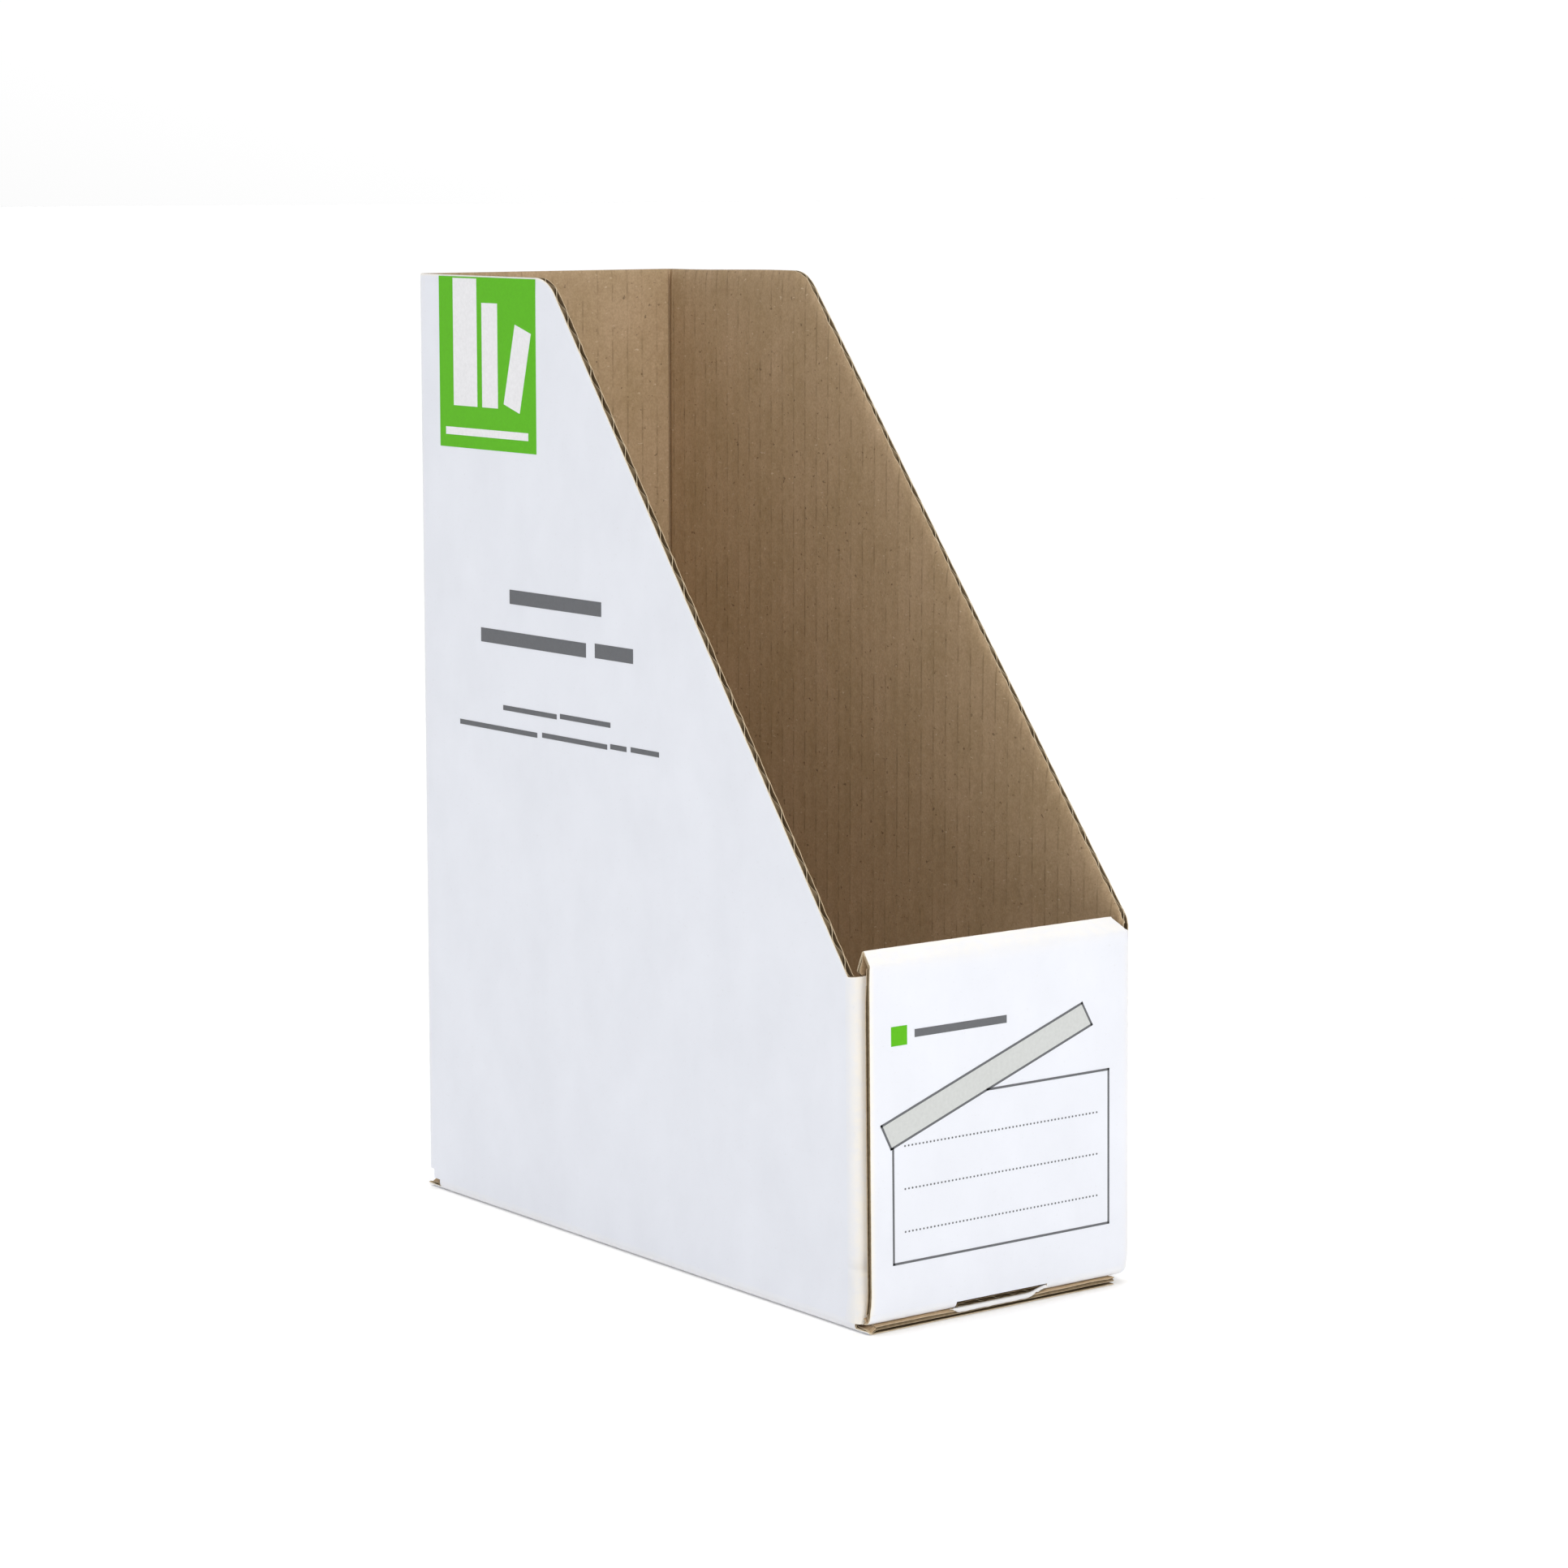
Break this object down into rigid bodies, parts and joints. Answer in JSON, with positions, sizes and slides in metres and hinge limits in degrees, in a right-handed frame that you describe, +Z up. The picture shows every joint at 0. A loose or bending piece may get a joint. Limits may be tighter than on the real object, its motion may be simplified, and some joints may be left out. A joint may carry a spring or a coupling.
{
  "type": "magazine file holder",
  "caption": "Open-topped magazine file folded from white-lined corrugated board, with slanted sides, a low rolled-over front and a folding bottom.",
  "frame": {"origin": "middle of the footprint, on the surface that the holder stands on", "axes": "+Z up, the low open front faces -Y, the tall back faces +Y, +X to the right as seen from the front"},
  "size_m": [0.108, 0.251, 0.32],
  "materials": {
    "white_liner": "matte",
    "brown_liner": "matte",
    "corrugated_medium": "matte",
    "dried_glue": "matte"
  },
  "bodies": {
    "tube": {"left_wall_outer_liner": "white_liner", "left_wall_fluting": "corrugated_medium", "left_wall_inner_liner": "brown_liner", "back_wall_outer_liner": "white_liner", "back_wall_fluting": "corrugated_medium", "back_wall_inner_liner": "brown_liner", "right_wall_outer_liner": "white_liner", "right_wall_fluting": "corrugated_medium", "right_wall_inner_liner": "brown_liner", "front_wall_outer_liner": "white_liner", "front_wall_fluting": "corrugated_medium", "front_wall_inner_liner": "brown_liner", "glue_flap_outer_liner": "white_liner", "glue_flap_fluting": "corrugated_medium", "glue_flap_inner_liner": "brown_liner", "glue_seam": "dried_glue"},
    "rim": {"rim_strip_outer_liner": "white_liner", "rim_strip_fluting": "corrugated_medium", "rim_strip_inner_liner": "brown_liner"},
    "rolled_panel": {"inner_panel_outer_liner": "white_liner", "inner_panel_fluting": "corrugated_medium", "inner_panel_inner_liner": "brown_liner", "lock_tab_outer_liner": "white_liner", "lock_tab_fluting": "corrugated_medium", "lock_tab_inner_liner": "brown_liner"},
    "floor": {"floor_panel_outer_liner": "white_liner", "floor_panel_fluting": "corrugated_medium", "floor_panel_inner_liner": "brown_liner"},
    "front_floor_flap": {"front_flap_outer_liner": "white_liner", "front_flap_fluting": "corrugated_medium", "front_flap_inner_liner": "brown_liner"},
    "back_floor_flap": {"back_flap_outer_liner": "white_liner", "back_flap_fluting": "corrugated_medium", "back_flap_inner_liner": "brown_liner"},
    "right_floor_flap": {"right_flap_outer_liner": "white_liner", "right_flap_fluting": "corrugated_medium", "right_flap_inner_liner": "brown_liner"}
  },
  "joints": [
    {"name": "roll_over_fold", "type": "hinge", "parent": "rim", "child": "rolled_panel", "pos_m": [0, -0.1201, 0.119], "axis": [1, 0, 0], "range_deg": [0, 133]},
    {"name": "rim_fold", "type": "hinge", "parent": "tube", "child": "rim", "pos_m": [0, -0.1245, 0.1145], "axis": [1, 0, 0], "range_deg": [0, 44.36]},
    {"name": "floor_fold", "type": "hinge", "parent": "tube", "child": "floor", "pos_m": [-0.05289, 0.0005, 0.00111], "axis": [0, 1, 0], "range_deg": [0, 90]},
    {"name": "front_flap_fold", "type": "hinge", "parent": "tube", "child": "front_floor_flap", "pos_m": [0, -0.12339, 0.00431], "axis": [-1, 0, 0], "range_deg": [0, 90]},
    {"name": "back_flap_fold", "type": "hinge", "parent": "tube", "child": "back_floor_flap", "pos_m": [0, 0.12439, 0.00431], "axis": [1, 0, 0], "range_deg": [0, 90]},
    {"name": "right_flap_fold", "type": "hinge", "parent": "tube", "child": "right_floor_flap", "pos_m": [0.05289, 0.0005, 0.00431], "axis": [0, -1, 0], "range_deg": [0, 90]}
  ],
  "couplings": [
    {"joint": "rim_fold", "follows": "roll_over_fold", "ratio": 0.3335},
    {"joint": "front_flap_fold", "follows": "floor_fold", "ratio": 1},
    {"joint": "back_flap_fold", "follows": "floor_fold", "ratio": 1},
    {"joint": "right_flap_fold", "follows": "floor_fold", "ratio": 1}
  ]
}
